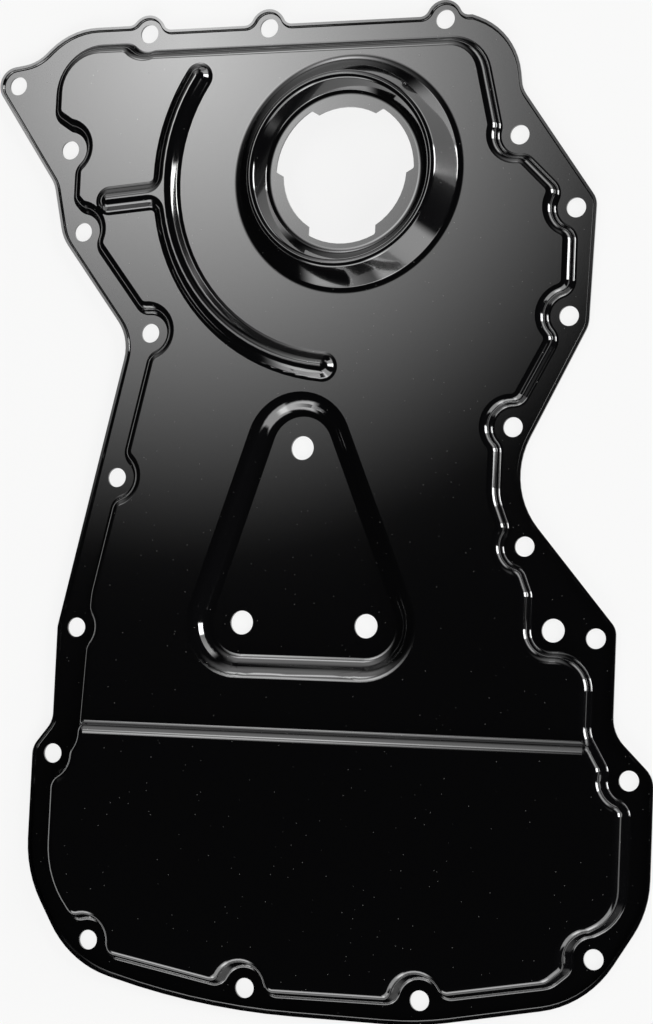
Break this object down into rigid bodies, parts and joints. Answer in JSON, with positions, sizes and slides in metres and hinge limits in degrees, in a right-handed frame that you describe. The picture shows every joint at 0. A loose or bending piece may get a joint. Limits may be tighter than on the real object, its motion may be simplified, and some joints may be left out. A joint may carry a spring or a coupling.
{
  "type": "pressed steel timing cover",
  "caption": "Deep-drawn sheet steel cover for an engine's timing gears, with a turned-up rim, a bayonet filler opening, stiffening ribs and a sunk bolt pad.",
  "frame": {"origin": "middle of the outline, on the sealing face of the flange", "axes": "+Z out of the outer face, away from the engine; +Y along the length, towards the filler opening"},
  "size_m": [0.3338, 0.4645, 0.0152],
  "materials": {
    "coated_steel": "glossy black coating"
  },
  "bodies": {
    "root": {"timing_cover": "coated_steel"}
  },
  "joints": []
}
